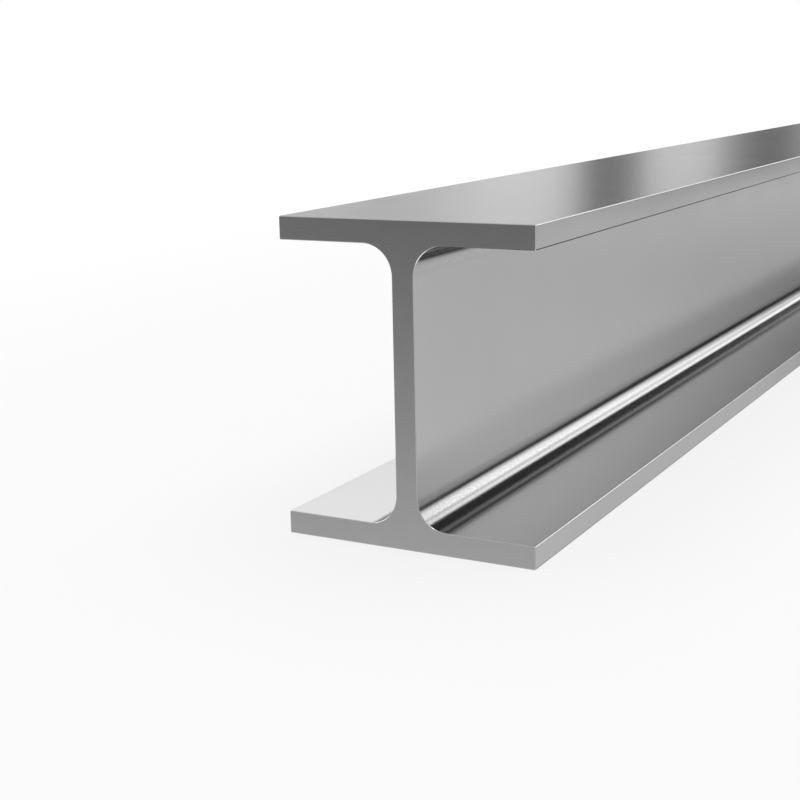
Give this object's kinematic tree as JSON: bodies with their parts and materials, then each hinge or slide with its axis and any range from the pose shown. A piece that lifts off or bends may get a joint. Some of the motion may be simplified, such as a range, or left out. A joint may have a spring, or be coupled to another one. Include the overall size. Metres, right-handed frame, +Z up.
{
  "type": "steel i-beam",
  "caption": "Straight rolled steel beam of I section with parallel flanges, filleted web and square sawn ends.",
  "frame": {"origin": "bottom centre of the beam: on the floor, midway along its length and midway across its bottom flange", "axes": "+Y along the beam's length, +X across its flanges, +Z up through its web"},
  "size_m": [0.21, 3, 0.25],
  "materials": {
    "clean_steel": "clean bare rolled steel with a smooth satin sheen"
  },
  "bodies": {
    "root": {"i_beam": "clean_steel"}
  },
  "joints": []
}
